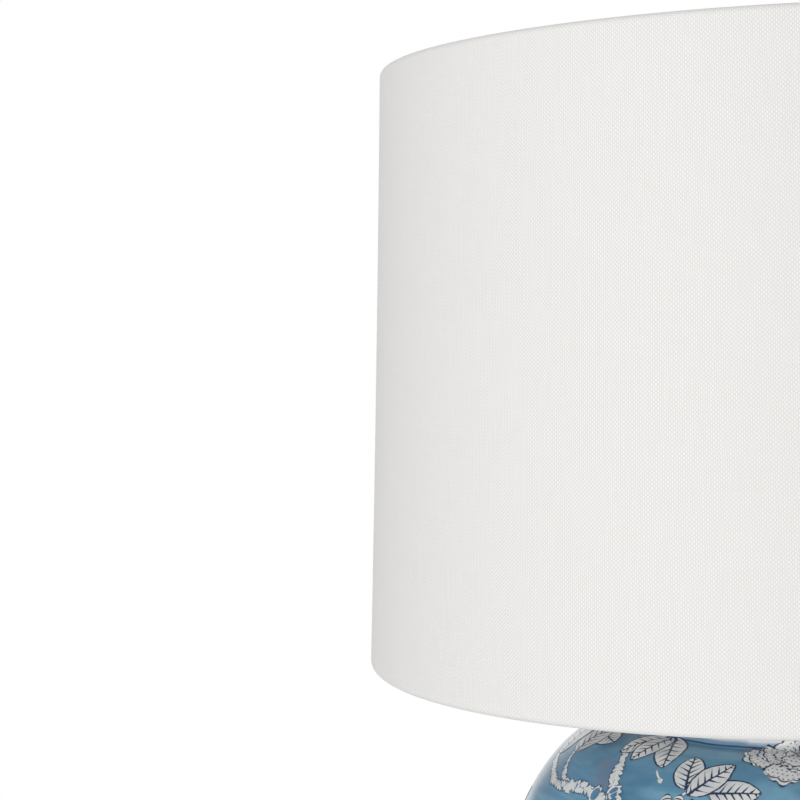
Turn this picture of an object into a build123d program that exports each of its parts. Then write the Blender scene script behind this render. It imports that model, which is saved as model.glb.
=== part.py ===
from build123d import *
import math
import os

# Table lamp: a glazed ginger jar on a felt pad, a threaded pipe up its middle, a medium-base lamp
# holder with a turn switch, a harp with locking sleeves, and a linen drum shade under a finial.
# Millimetres, +Z up. The origin is the centre of the felt pad's underside, on the table.

# ---- clearances ----
PIPE_PLAY = 0.15        # radial, round the threaded pipe
RUN_FIT = 0.05          # radial, a shaft that turns or slides in its hole
SEAT_GAP = 0.1          # between seated pieces that come apart
SKIN_GAP = 0.2          # between nested shells

# ---- felt pad and jar ----
PAD_T = 2.0
PAD_INSET = 2.0         # pad edge, inside the foot ring
FOOT_R = 90.0
FOOT_W = 9.0            # width of the foot ring
FOOT_H = 16.0
FOOT_STEP = 1.5         # ledge where the glazed body starts above the foot
RECESS_H = 18.0         # depth of the hollow under the jar's floor
FLOOR_T = 8.0
JAR_WALL = 6.0
BELLY_R = 146.0
BELLY_H = 233.5         # widest circle, above the foot's underside
BELLY_PULL = 118.0      # curve handle below the widest circle
FOOT_PULL_R = 24.0      # curve handle above the foot, outwards
FOOT_PULL_Z = 62.0      # and upwards
SHOULDER_H = 104.5
NECK_R = 80.0
NECK_H = 20.0
NECK_ROOT_FILLET = 2.5
RIM_FILLET = 1.5
ROUND = 0.5523          # handle share that bends a cubic curve like a quarter ellipse

# ---- cord bush in the foot ring, at the back ----
CORD_R = 4.0
BUSH_WALL = 1.3
BUSH_LIP = 2.2          # flange, past the barrel
BUSH_LIP_T = 2.0
BUSH_TAIL_LIP = 0.9
BUSH_TAIL_T = 1.5
BUSH_H = 8.0            # axis above the foot's underside

# ---- pipe and the fasteners under the floor ----
PIPE_R = 5.1
PIPE_BORE_R = 3.4
PIPE_TAIL = 3.2         # pipe below the nut
PIPE_IN_CAP = 8.0       # pipe above the saddle
FLOOR_HOLE_R = 7.0
WASHER_R = 19.0
WASHER_T = 1.6
LOCK_WASHER_R = 8.5
LOCK_WASHER_T = 1.2
NUT_FLATS = 16.0
NUT_T = 5.0

# ---- neck hardware ----
GASKET_T = 1.5
GASKET_W = 14.0
CAP_T = 1.2
CAP_OVERHANG = 4.0      # vase cap past the neck
CAP_SKIRT = 4.0         # its turned-down edge
CAP_FLAT = 20.0         # its flat border
CAP_RISE = 10.2         # its centre above its border's underside
CAP_TOP_R = 16.0
CHECK_RING_R = 11.0
CHECK_RING_T = 3.0
SPACER_R = 8.0
SPACER_H = 6.0

# ---- harp ----
HARP_SIZE = 254.0       # saddle to shade seat: the trade's ten-inch harp
WIRE_R = 2.0
HARP_HALF = 28.5        # leg centre from the axis
HARP_BOW = 60.0
HARP_LEG_H = 72.0       # saddle to the corner where the legs start to spread
HARP_SPREAD_H = 52.0    # rise of the spreading stretch
HARP_TOP_HALF = 20.0    # half the level top
HARP_TOP_DROP = 46.0    # top wire to the corner where the bow closes in
HARP_LEG_BEND = 70.0
HARP_SIDE_BEND = 80.0
HARP_SHOULDER_BEND = 50.0
HARP_TOP_BEND = 30.0
SADDLE_T = 1.6
SADDLE_W = 12.0
SADDLE_FLAT = 17.0      # half the level middle
SADDLE_BEND = 3.0
SADDLE_ARM_H = 14.0     # saddle underside to the half-lap joint
SADDLE_END = 4.0        # round end below the half lap
LAP_H = 10.0
SLEEVE_WALL = 0.9
SLEEVE_H = 18.0
STUD_PLATE_R = 7.5
STUD_HEAD_R = 5.0
STUD_HEAD_T = 2.0
STUD_SHANK_R = 3.2
STUD_FLANGE_R = 9.0
STUD_FLANGE_T = 2.0
STUD_PILOT_R = 5.2
STUD_PILOT_H = 1.3
STUD_THREAD_R = 3.17
STUD_THREAD_H = 12.0    # above the shade's hub

# ---- lamp holder ----
HOLDER_T = 0.8          # brass sheet
HOLDER_NOSE_R = 8.0
HOLDER_NOSE_H = 6.0
HOLDER_CAP_R = 18.5
HOLDER_CAP_H = 22.0     # saddle to the cap's rim
HOLDER_LAP = 4.0        # shell inside the cap
HOLDER_SHELL_R = 17.1
HOLDER_SHELL_H = 47.0
SLEEVE_SHORT = 1.0      # insulating sleeve, short of the shell at each end
LINER_T = 0.7
BODY_R = 14.6
BODY_H = 23.0
BODY_FLATS = 11.0       # half width across the terminal flats
SCREW_SHELL_T = 0.6
SCREW_SHELL_R = 14.2
SCREW_SHELL_H = 22.0
CONTACT_R = 4.0
CONTACT_T = 0.6
TERMINAL_R = 3.1
TERMINAL_T = 1.6
TERMINAL_SLOT = 0.8
TERMINAL_H = 7.0        # above the body's underside
KEY_H = 14.0            # switch axis above the body's underside
SPINDLE_R = 2.0
SPINDLE_HOLE_R = 3.4    # in the shell and the sleeve
SPINDLE_DEPTH = 6.0     # in the body
KNOB_R = 5.5
KNOB_L = 15.0
KNOB_GAP = 1.2          # knob to shell
KNOB_SPINDLE = 10.0     # spindle inside the knob
KNOB_FLUTES = 10
KNOB_FLUTE_R = 0.9

# ---- bulb ----
BULB_R = 30.0
BULB_L = 110.0          # contact to crown
BULB_GLASS_T = 1.0
BULB_NECK_R = 13.6
BULB_NECK_H = 4.0
BULB_BASE_R = 13.0
BULB_BASE_H = 21.0
BULB_BASE_T = 0.5
BULB_THREADS = 4
BULB_THREAD_DEPTH = 0.6
BULB_INSULATOR_H = 4.0
BULB_TIP_R = 4.0
BULB_TIP_H = 1.6
BULB_TANGENT = 32.0     # degrees below the equator where the glass leaves the sphere
BULB_PULL = 16.0

# ---- shade: 15 in by 16 in by 11 in ----
SHADE_TOP_R = 190.5
SHADE_FLARE = 12.7      # bottom radius, past the top radius
SHADE_H = 279.4
LINEN_T = 1.0
LINER_SKIN_T = 0.8
RING_WIRE_R = 1.5
SHADE_GAP = 0.7         # between the linen, its liner and the rings
TURN_IN = 8.0           # linen turned inside past the ring
TURN_IN_LEAN = 14.0     # degrees, towards the liner
HUB_DROP = 11.5         # ring to hub seat
HUB_R = 14.0
HUB_T = 1.6
ARMS = 3
ARM_INNER_R = 8.5
ARM_LEVEL = 16.0        # level stretch at each end of an arm
ARM_BEND = 8.0
ARM_START = 90.0        # degrees, first arm over the back

# ---- finial ----
FINIAL_H = 27.0
FINIAL_BASE_R = 7.5
FINIAL_BASE_H = 4.0
FINIAL_WAIST_R = 5.0
FINIAL_BALL_R = 8.5

# ---- heights that follow ----
JAR_Z = PAD_T
RECESS_Z = JAR_Z + RECESS_H
FLOOR_Z = RECESS_Z + FLOOR_T
BELLY_Z = JAR_Z + BELLY_H
NECK_ROOT_Z = BELLY_Z + SHOULDER_H
RIM_Z = NECK_ROOT_Z + NECK_H
CAP_Z = RIM_Z + GASKET_T
CHECK_RING_Z = CAP_Z + CAP_RISE
SPACER_Z = CHECK_RING_Z + CHECK_RING_T
SADDLE_Z = SPACER_Z + SPACER_H
HOLDER_Z = SADDLE_Z + SADDLE_T
SHELL_Z = HOLDER_Z + HOLDER_CAP_H - HOLDER_LAP
SHELL_TOP_Z = SHELL_Z + HOLDER_SHELL_H
BODY_Z = SHELL_Z + SLEEVE_SHORT
SCREW_SHELL_Z = BODY_Z + BODY_H
CONTACT_Z = SCREW_SHELL_Z + CONTACT_T
BULB_Z = CONTACT_Z + SEAT_GAP
KEY_Z = BODY_Z + KEY_H
SEAT_Z = SADDLE_Z + HARP_SIZE
HUB_Z = SEAT_Z + SEAT_GAP
RING_Z = SEAT_Z + HUB_DROP
FOLD_R = RING_WIRE_R + SHADE_GAP + LINEN_T
SHADE_TOP_Z = RING_Z + FOLD_R
SHADE_Z = SHADE_TOP_Z - SHADE_H
LAP_Z = SADDLE_Z + SADDLE_ARM_H
PLATE_TOP_Z = SEAT_Z - STUD_FLANGE_T - SEAT_GAP
TOP_WIRE_Z = PLATE_TOP_Z - WIRE_R
FINIAL_Z = HUB_Z + HUB_T + SEAT_GAP

# ---- radii and widths that follow ----
NECK_BORE_R = NECK_R - JAR_WALL
CAP_R = NECK_R + CAP_OVERHANG
PIPE_HOLE_R = PIPE_R + PIPE_PLAY
BUSH_R = CORD_R + BUSH_WALL
LINER_R = HOLDER_SHELL_R - HOLDER_T - SKIN_GAP
SLEEVE_BORE_R = WIRE_R + RUN_FIT
SHADE_BOTTOM_R = SHADE_TOP_R + SHADE_FLARE
SHADE_LEAN = math.atan2(SHADE_FLARE, SHADE_H)


def post(radius, low_z, high_z):
    """A round bar about the lamp's axis."""
    bar = Cylinder(radius, high_z - low_z, align=(Align.CENTER, Align.CENTER, Align.MIN))
    return Pos(0, 0, low_z) * bar


def tube(outer_r, bore_r, low_z, high_z):
    return post(outer_r, low_z, high_z) - post(bore_r, low_z, high_z)


def lathe(*outline):
    """Turn a closed outline, drawn as (radius, height), about the lamp's axis."""
    return revolve(Plane.XZ * make_face(outline), Axis.Z)


def spun_sheet(points, bends, thickness):
    """Sheet metal spun to a bent outline of (radius, height) points; the metal lies to its left."""
    outer = FilletPolyline(*points, radius=bends)
    return lathe(*outer.offset_2d(thickness, side=Side.LEFT).edges())


def circles(part, radius, height):
    """The round edges of a turned piece at one radius and height."""
    near = 0.01
    return part.edges().filter_by(GeomType.CIRCLE).filter_by(
        lambda edge: abs(edge.radius - radius) < near and abs(edge.center().Z - height) < near)


def mirrored(piece):
    """A piece and its copy on the other side of the lamp's axis."""
    return [piece, Rot(0, 0, 180) * piece]


# ---- jar ----
def wall_curve(inset, start):
    """The jar's side from its foot or floor up to the root of the neck."""
    belly = Vector(BELLY_R - inset, BELLY_Z)
    root = Vector(NECK_R - inset, NECK_ROOT_Z - inset)
    body = Bezier(start, start + Vector(FOOT_PULL_R, FOOT_PULL_Z), belly - Vector(0, BELLY_PULL), belly)
    rise = Vector(0, ROUND * (root.Y - belly.Y))
    spread = Vector(ROUND * (belly.X - root.X), 0)
    shoulder = Bezier(belly, belly + rise, root + spread, root)
    return body.edges() + shoulder.edges()


def make_jar():
    foot_top = Vector(FOOT_R + FOOT_STEP, JAR_Z + FOOT_H)
    floor_edge = Vector(foot_top.X - JAR_WALL, FLOOR_Z)
    outer = wall_curve(0, foot_top)
    inner = wall_curve(JAR_WALL, floor_edge)
    foot = Polyline(foot_top, (FOOT_R, JAR_Z + FOOT_H), (FOOT_R, JAR_Z), (FOOT_R - FOOT_W, JAR_Z),
                    (FOOT_R - FOOT_W, RECESS_Z), (FLOOR_HOLE_R, RECESS_Z), (FLOOR_HOLE_R, FLOOR_Z), floor_edge)
    neck = Polyline((NECK_R, NECK_ROOT_Z), (NECK_R, RIM_Z), (NECK_BORE_R, RIM_Z),
                    (NECK_BORE_R, NECK_ROOT_Z - JAR_WALL))
    body = lathe(*outer, *neck.edges(), *inner, *foot.edges())
    body = fillet(circles(body, NECK_R, NECK_ROOT_Z), NECK_ROOT_FILLET)
    body = fillet(circles(body, NECK_R, RIM_Z) + circles(body, NECK_BORE_R, RIM_Z), RIM_FILLET)
    body = fillet(circles(body, FOOT_R, JAR_Z) + circles(body, FOOT_R - FOOT_W, JAR_Z), RIM_FILLET)
    hole = Cylinder(BUSH_R + SKIN_GAP, 3 * FOOT_W, rotation=(90, 0, 0))
    return body - Pos(0, FOOT_R - FOOT_W / 2, JAR_Z + BUSH_H) * hole


def make_cord_bush():
    """A moulded bush through the foot ring, turned about its own axis and laid level."""
    front = FOOT_R + SKIN_GAP + SEAT_GAP
    tail_r = BUSH_R + BUSH_TAIL_LIP
    back = math.sqrt((FOOT_R - FOOT_W) ** 2 - tail_r ** 2) - SKIN_GAP
    lip = tube(BUSH_R + BUSH_LIP, CORD_R, front, front + BUSH_LIP_T)
    lip = fillet(circles(lip, BUSH_R + BUSH_LIP, front + BUSH_LIP_T), BUSH_LIP_T / 2)
    barrel = tube(BUSH_R, CORD_R, back - BUSH_TAIL_T, front)
    tail = tube(tail_r, CORD_R, back - BUSH_TAIL_T, back)
    return Pos(0, 0, JAR_Z + BUSH_H) * Rot(-90, 0, 0) * (lip + barrel + tail)


# ---- pipe stack ----
def make_lock_washer():
    washer_z = RECESS_Z - WASHER_T - LOCK_WASHER_T
    split = Pos(0, LOCK_WASHER_R, washer_z) * Box(LOCK_WASHER_T, LOCK_WASHER_R, 4 * LOCK_WASHER_T)
    return tube(LOCK_WASHER_R, PIPE_HOLE_R, washer_z, RECESS_Z - WASHER_T) - split


NUT_Z = RECESS_Z - WASHER_T - LOCK_WASHER_T - NUT_T
PIPE_Z = NUT_Z - PIPE_TAIL


def make_hex_nut():
    hexagon = extrude(RegularPolygon(NUT_FLATS / 2, 6, major_radius=False), NUT_T)
    return Pos(0, 0, NUT_Z) * hexagon - post(PIPE_HOLE_R, NUT_Z, NUT_Z + NUT_T)


def make_vase_cap():
    """A spun brass lid: turned-down edge, flat border, and a dome up to the check ring."""
    border_z = CAP_Z + CAP_T
    dome_foot_r = CAP_R - CAP_FLAT
    top_z = CAP_Z + CAP_RISE
    points = [(CAP_R, CAP_Z - CAP_SKIRT), (CAP_R, border_z), (dome_foot_r, border_z),
              (CAP_TOP_R + CAP_RISE, top_z), (PIPE_HOLE_R, top_z)]
    return spun_sheet(points, [2 * CAP_T, 2 * CAP_RISE, 2 * CAP_RISE], CAP_T)


# ---- harp and saddle ----
def half_round(low_z, high_z, side):
    """Half of a wire end for the half-lap joint: side 1 is the outer half, -1 the inner."""
    keep = Pos(side * (WIRE_R + SEAT_GAP / 2), 0, (low_z + high_z) / 2)
    return post(WIRE_R, low_z, high_z) & keep * Box(2 * WIRE_R, 4 * WIRE_R, high_z - low_z)


def make_saddle():
    middle_z = SADDLE_Z + SADDLE_T / 2
    path = FilletPolyline((-HARP_HALF, LAP_Z), (-HARP_HALF, middle_z + HARP_HALF - SADDLE_FLAT),
                          (-SADDLE_FLAT, middle_z), (SADDLE_FLAT, middle_z),
                          (HARP_HALF, middle_z + HARP_HALF - SADDLE_FLAT), (HARP_HALF, LAP_Z),
                          radius=SADDLE_BEND)
    strip = extrude(Plane.XZ * trace(path, SADDLE_T), SADDLE_W / 2, both=True)
    end = post(WIRE_R, LAP_Z - SADDLE_END, LAP_Z) + half_round(LAP_Z, LAP_Z + LAP_H, 1)
    ends = mirrored(Pos(HARP_HALF, 0, 0) * end)
    return strip + ends - post(PIPE_HOLE_R, SADDLE_Z - SADDLE_T, SADDLE_Z + 2 * SADDLE_T)


def make_harp():
    leg_z = SADDLE_Z + HARP_LEG_H
    spread_z = leg_z + HARP_SPREAD_H
    shoulder_z = TOP_WIRE_Z - HARP_TOP_DROP
    foot_z = LAP_Z + LAP_H + SEAT_GAP
    right = [(HARP_TOP_HALF, TOP_WIRE_Z), (HARP_BOW, shoulder_z), (HARP_BOW, spread_z), (HARP_HALF, leg_z),
             (HARP_HALF, foot_z)]
    left = [(-radius, height) for radius, height in reversed(right)]
    bends = [HARP_TOP_BEND, HARP_SHOULDER_BEND, HARP_SIDE_BEND, HARP_LEG_BEND]
    path = Plane.XZ * FilletPolyline(*left, *right, radius=[*reversed(bends), *bends])
    wire = sweep(Plane(path @ 0, z_dir=path % 0) * Circle(WIRE_R), path)
    foot = Pos(HARP_HALF, 0, 0) * half_round(LAP_Z + SEAT_GAP, foot_z, -1)
    plate = post(STUD_PLATE_R, TOP_WIRE_Z - WIRE_R, PLATE_TOP_Z)
    hole = post(STUD_SHANK_R + RUN_FIT, TOP_WIRE_Z - 2 * WIRE_R, SEAT_Z)
    return wire + mirrored(foot) + plate - hole


def make_stud():
    """The swivel stud: a head under the plate, the shade's seat, its pilot and the thread."""
    head_top = TOP_WIRE_Z - WIRE_R - SEAT_GAP
    head = post(STUD_HEAD_R, head_top - STUD_HEAD_T, head_top)
    shank = post(STUD_SHANK_R, head_top, SEAT_Z)
    flange = post(STUD_FLANGE_R, SEAT_Z - STUD_FLANGE_T, SEAT_Z)
    pilot = post(STUD_PILOT_R, SEAT_Z, SEAT_Z + STUD_PILOT_H)
    thread = post(STUD_THREAD_R, SEAT_Z, HUB_Z + HUB_T + STUD_THREAD_H)
    thread = chamfer(circles(thread, STUD_THREAD_R, HUB_Z + HUB_T + STUD_THREAD_H), STUD_THREAD_R / 5)
    return head + shank + flange + pilot + thread


def make_sleeve(side):
    low_z = LAP_Z + SEAT_GAP
    return Pos(side * HARP_HALF, 0, 0) * tube(SLEEVE_BORE_R + SLEEVE_WALL, SLEEVE_BORE_R, low_z,
                                              low_z + SLEEVE_H)


# ---- lamp holder ----
def spindle_hole(radius):
    """A round cutter from the lamp's axis out through the front of the holder."""
    return Pos(0, 0, KEY_Z) * Rot(90, 0, 0) * post(radius, 0, 2 * HOLDER_SHELL_R)


def make_holder_cap():
    rim_z = HOLDER_Z + HOLDER_CAP_H
    nose_top = HOLDER_Z + HOLDER_NOSE_H
    bell_z = nose_top + HOLDER_CAP_R - HOLDER_NOSE_R
    points = [(HOLDER_CAP_R, rim_z), (HOLDER_CAP_R, bell_z), (HOLDER_NOSE_R, nose_top),
              (HOLDER_NOSE_R, HOLDER_Z)]
    outer = FilletPolyline(*points, radius=[HOLDER_CAP_R / 2, HOLDER_T])
    bell = lathe(*outer.offset_2d(HOLDER_T, side=Side.RIGHT).edges())
    return bell + tube(HOLDER_NOSE_R, PIPE_HOLE_R, HOLDER_Z, nose_top)


def make_terminal(side):
    """A slotted binding screw on a flat of the holder's body."""
    head = Cylinder(TERMINAL_R, TERMINAL_T) - Pos(0, 0, TERMINAL_T / 2) * Box(
        3 * TERMINAL_R, TERMINAL_SLOT, TERMINAL_T)
    place = Pos(side * (BODY_FLATS + SEAT_GAP + TERMINAL_T / 2), 0, BODY_Z + TERMINAL_H)
    return place * Rot(0, side * 90, 0) * head


def make_holder_body():
    body = post(BODY_R, BODY_Z, SCREW_SHELL_Z)
    width = 2 * BODY_R
    flat = Pos(BODY_FLATS + BODY_R, 0, BODY_Z + TERMINAL_H) * Box(width, width, 3 * TERMINAL_R)
    socket = Pos(0, 0, KEY_Z) * Rot(90, 0, 0) * post(SPINDLE_R + RUN_FIT, BODY_R - SPINDLE_DEPTH, width)
    return body - mirrored(flat) - socket


def make_spindle():
    inner = BODY_R - SPINDLE_DEPTH + SEAT_GAP
    outer = HOLDER_SHELL_R + KNOB_GAP + KNOB_SPINDLE
    return Pos(0, 0, KEY_Z) * Rot(90, 0, 0) * post(SPINDLE_R, inner, outer)


def make_knob():
    """A fluted turn knob, pressed on its spindle."""
    inner = HOLDER_SHELL_R + KNOB_GAP
    outer = inner + KNOB_L
    knob = post(KNOB_R, inner, outer)
    knob = fillet(circles(knob, KNOB_R, outer), KNOB_FLUTE_R)
    flute = post(KNOB_FLUTE_R, inner - KNOB_GAP / 2, outer + KNOB_GAP)
    for index in range(KNOB_FLUTES):
        knob -= Rot(0, 0, index * 360 / KNOB_FLUTES) * Pos(KNOB_R + KNOB_FLUTE_R / 3, 0, 0) * flute
    knob -= post(SPINDLE_R + PIPE_PLAY, inner, inner + KNOB_SPINDLE + SEAT_GAP)
    return Pos(0, 0, KEY_Z) * Rot(90, 0, 0) * knob


# ---- bulb ----
BASE_Z = BULB_Z + BULB_TIP_H + BULB_INSULATOR_H
GLASS_Z = BASE_Z + BULB_BASE_H
CROWN_Z = BULB_Z + BULB_L


def bulb_curve(inset):
    """The glass from its neck to its crown, set in from the outer face."""
    radius = BULB_R - inset
    centre = Vector(0, CROWN_Z - BULB_R)
    dip = math.radians(BULB_TANGENT)
    leave = centre + Vector(radius * math.cos(dip), -radius * math.sin(dip))
    ball = CenterArc(centre, radius, -BULB_TANGENT, 90 + BULB_TANGENT)
    neck_top = Vector(BULB_NECK_R - inset, GLASS_Z + BULB_NECK_H)
    down = Vector(-math.sin(dip), -math.cos(dip))
    flare = Bezier(neck_top, neck_top + Vector(0, BULB_PULL), leave + down * BULB_PULL, leave)
    neck = Line((BULB_NECK_R - inset, GLASS_Z + SEAT_GAP), neck_top)
    return neck.edges() + flare.edges() + ball.edges()


def make_bulb_glass():
    crown = Line((0, CROWN_Z - BULB_GLASS_T), (0, CROWN_Z))
    foot_z = GLASS_Z + SEAT_GAP
    foot = Line((BULB_NECK_R - BULB_GLASS_T, foot_z), (BULB_NECK_R, foot_z))
    return lathe(*bulb_curve(0), crown, *bulb_curve(BULB_GLASS_T), foot)


def make_bulb_base():
    """The screw base: a thin shell whose thread is drawn as rolled rings."""
    shell = tube(BULB_BASE_R, BULB_BASE_R - BULB_BASE_T - BULB_THREAD_DEPTH, BASE_Z, GLASS_Z)
    pitch = (BULB_BASE_H - 2 * BULB_INSULATOR_H) / BULB_THREADS
    for turn in range(BULB_THREADS):
        groove_z = BASE_Z + BULB_INSULATOR_H / 2 + turn * pitch
        groove = (Pos(BULB_BASE_R, groove_z + pitch / 2) * Circle(BULB_THREAD_DEPTH))
        shell -= revolve(Plane.XZ * groove, Axis.Z)
    return shell


def make_bulb_insulator():
    taper = Line((BULB_TIP_R, BULB_Z + BULB_TIP_H), (BULB_BASE_R - BULB_BASE_T, BASE_Z))
    top = Polyline((BULB_BASE_R - BULB_BASE_T, BASE_Z), (0, BASE_Z), (0, BULB_Z + BULB_TIP_H),
                   (BULB_TIP_R, BULB_Z + BULB_TIP_H))
    return lathe(taper, *top.edges())


def make_bulb_contact():
    tip = post(BULB_TIP_R, BULB_Z, BULB_Z + BULB_TIP_H)
    return fillet(circles(tip, BULB_TIP_R, BULB_Z), BULB_TIP_H / 2)


# ---- shade ----
UP_WALL = Vector(-math.sin(SHADE_LEAN), math.cos(SHADE_LEAN))
OUT_WALL = Vector(math.cos(SHADE_LEAN), math.sin(SHADE_LEAN))


def wall_point(height, depth=0.0):
    """A point in the shade's wall at a height, so far in from the linen's outer face."""
    radius = SHADE_BOTTOM_R - (height - SHADE_Z) * math.tan(SHADE_LEAN) - depth / math.cos(SHADE_LEAN)
    return Vector(radius, height)


LOW_RING = wall_point(SHADE_Z + FOLD_R, FOLD_R)
HIGH_RING = wall_point(RING_Z, FOLD_R)


def linen_line(depth):
    """One face of the linen: turned in at the bottom ring, up the wall, and in at the top ring."""
    radius = FOLD_R - depth
    wall = Line(LOW_RING + OUT_WALL * radius, HIGH_RING + OUT_WALL * radius)
    over = JernArc(wall @ 1, UP_WALL, radius, 180 + TURN_IN_LEAN)
    under = JernArc(wall @ 0, -UP_WALL, radius, -180 - TURN_IN_LEAN)
    high_flap = Line(over @ 1, over @ 1 + (over % 1) * TURN_IN)
    low_flap = Line(under @ 1, under @ 1 + (under % 1) * TURN_IN)
    return [low_flap, under, wall, over, high_flap]


def arm_notch(angle):
    """Room for a spider arm where it passes the turned-in linen."""
    cutter = Rot(0, 90, 0) * post(RING_WIRE_R + SHADE_GAP, HIGH_RING.X - 2 * FOLD_R - TURN_IN, HIGH_RING.X)
    return Rot(0, 0, angle) * Pos(0, 0, RING_Z) * cutter


ARM_ANGLES = [ARM_START + index * 360 / ARMS for index in range(ARMS)]


def make_shade_cover():
    outer = linen_line(0)
    inner = linen_line(LINEN_T)
    ends = [Line(outer[0] @ 1, inner[0] @ 1), Line(outer[-1] @ 1, inner[-1] @ 1)]
    return lathe(*outer, *inner, *ends) - [arm_notch(angle) for angle in ARM_ANGLES]


def make_shade_liner():
    near = LINEN_T + SHADE_GAP
    low_z = LOW_RING.Y + RING_WIRE_R + SHADE_GAP
    high_z = HIGH_RING.Y - RING_WIRE_R - SHADE_GAP
    corners = [wall_point(low_z, near), wall_point(high_z, near), wall_point(high_z, near + LINER_SKIN_T),
               wall_point(low_z, near + LINER_SKIN_T)]
    return lathe(*Polyline(*corners, close=True).edges())


def make_ring(centre):
    return revolve(Plane.XZ * Pos(centre.X, centre.Y) * Circle(RING_WIRE_R), Axis.Z)


def make_spider_arm(angle):
    """One wire from the hub's top face, out and up to the inside of the top ring."""
    hub_z = HUB_Z + HUB_T + RING_WIRE_R
    end_r = HIGH_RING.X - RING_WIRE_R
    points = [(ARM_INNER_R, hub_z), (ARM_INNER_R + ARM_LEVEL, hub_z), (end_r - ARM_LEVEL, RING_Z),
              (end_r, RING_Z)]
    path = Plane.XZ * FilletPolyline(*points, radius=ARM_BEND)
    arm = sweep(Plane(path @ 0, z_dir=path % 0) * Circle(RING_WIRE_R), path)
    return Rot(0, 0, angle) * arm


# ---- finial ----
def make_finial():
    """A turned brass knob: base, waist and ball, with a blind threaded hole for the stud."""
    base_top = FINIAL_Z + FINIAL_BASE_H
    ball_z = FINIAL_Z + FINIAL_H - FINIAL_BALL_R
    base = post(FINIAL_BASE_R, FINIAL_Z, base_top)
    base = fillet(circles(base, FINIAL_BASE_R, base_top), FINIAL_BASE_H / 3)
    waist = post(FINIAL_WAIST_R, base_top, ball_z)
    ball = Pos(0, 0, ball_z) * Sphere(FINIAL_BALL_R)
    body = base + waist + ball
    hole_top = HUB_Z + HUB_T + STUD_THREAD_H + 2 * SEAT_GAP
    return body - post(STUD_THREAD_R + RUN_FIT, FINIAL_Z, hole_top)


nodes = {
    "felt_pad": post(FOOT_R - PAD_INSET, 0, PAD_T),
    "jar": make_jar(),
    "cord_bush": make_cord_bush(),
    "lamp_pipe": tube(PIPE_R, PIPE_BORE_R, PIPE_Z, HOLDER_Z + PIPE_IN_CAP),
    "bottom_washer": tube(WASHER_R, PIPE_HOLE_R, RECESS_Z - WASHER_T, RECESS_Z),
    "lock_washer": make_lock_washer(),
    "hex_nut": make_hex_nut(),
    "neck_gasket": tube(NECK_R, NECK_R - GASKET_W, RIM_Z, CAP_Z),
    "vase_cap": make_vase_cap(),
    "check_ring": tube(CHECK_RING_R, PIPE_HOLE_R, CHECK_RING_Z, SPACER_Z),
    "neck_spacer": tube(SPACER_R, PIPE_HOLE_R, SPACER_Z, SADDLE_Z),
    "harp_saddle": make_saddle(),
    "holder_cap": make_holder_cap(),
    "holder_shell": tube(HOLDER_SHELL_R, HOLDER_SHELL_R - HOLDER_T, SHELL_Z, SHELL_TOP_Z)
    - spindle_hole(SPINDLE_HOLE_R),
    "holder_sleeve": tube(LINER_R, LINER_R - LINER_T, SHELL_Z + SLEEVE_SHORT, SHELL_TOP_Z - SLEEVE_SHORT)
    - spindle_hole(SPINDLE_HOLE_R),
    "holder_body": make_holder_body(),
    "screw_shell": tube(SCREW_SHELL_R, SCREW_SHELL_R - SCREW_SHELL_T, SCREW_SHELL_Z,
                        SCREW_SHELL_Z + SCREW_SHELL_H),
    "centre_contact": post(CONTACT_R, SCREW_SHELL_Z, CONTACT_Z),
    "terminal_screws": [make_terminal(side) for side in (-1, 1)],
    "switch_spindle": make_spindle(),
    "switch_knob": make_knob(),
    "bulb_glass": make_bulb_glass(),
    "bulb_base": make_bulb_base(),
    "bulb_insulator": make_bulb_insulator(),
    "bulb_contact": make_bulb_contact(),
    "harp": make_harp(),
    "harp_sleeve_left": make_sleeve(-1),
    "harp_sleeve_right": make_sleeve(1),
    "harp_stud": make_stud(),
    "shade_cover": make_shade_cover(),
    "shade_liner": make_shade_liner(),
    "shade_top_ring": make_ring(HIGH_RING),
    "shade_bottom_ring": make_ring(LOW_RING),
    "spider_arms": [make_spider_arm(angle) for angle in ARM_ANGLES],
    "spider_hub": tube(HUB_R, STUD_PILOT_R + RUN_FIT, HUB_Z, HUB_Z + HUB_T),
    "finial": make_finial(),
}

os.makedirs("parts", exist_ok=True)
for name, piece in nodes.items():
    solids = Compound(children=[*piece]) if isinstance(piece, list) else piece
    export_step(solids, f"parts/{name}.step")
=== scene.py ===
import bisect
import math
import random

import bpy
from mathutils import Matrix, Vector


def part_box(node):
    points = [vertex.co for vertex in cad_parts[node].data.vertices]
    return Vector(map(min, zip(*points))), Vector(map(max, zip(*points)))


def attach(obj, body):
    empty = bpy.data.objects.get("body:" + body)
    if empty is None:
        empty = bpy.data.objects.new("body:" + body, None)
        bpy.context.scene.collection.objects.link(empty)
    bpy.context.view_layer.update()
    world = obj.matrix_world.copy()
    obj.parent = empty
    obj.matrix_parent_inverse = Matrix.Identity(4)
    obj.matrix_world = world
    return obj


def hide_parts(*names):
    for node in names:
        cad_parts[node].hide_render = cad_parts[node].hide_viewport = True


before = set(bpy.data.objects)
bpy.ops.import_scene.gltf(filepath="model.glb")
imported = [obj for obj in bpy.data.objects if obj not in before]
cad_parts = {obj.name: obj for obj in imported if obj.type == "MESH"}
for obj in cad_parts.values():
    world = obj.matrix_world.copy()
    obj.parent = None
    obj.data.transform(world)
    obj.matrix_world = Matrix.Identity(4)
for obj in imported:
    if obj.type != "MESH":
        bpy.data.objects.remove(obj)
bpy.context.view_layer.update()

# ---- Sizes ----
# Lengths are in millimetres and turned into metres where a mesh is made.
MM = 0.001


def reach(node):
    """A turned piece's lowest and highest height and its largest radius, in millimetres."""
    low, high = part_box(node)
    return low.z / MM, high.z / MM, high.x / MM


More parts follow.
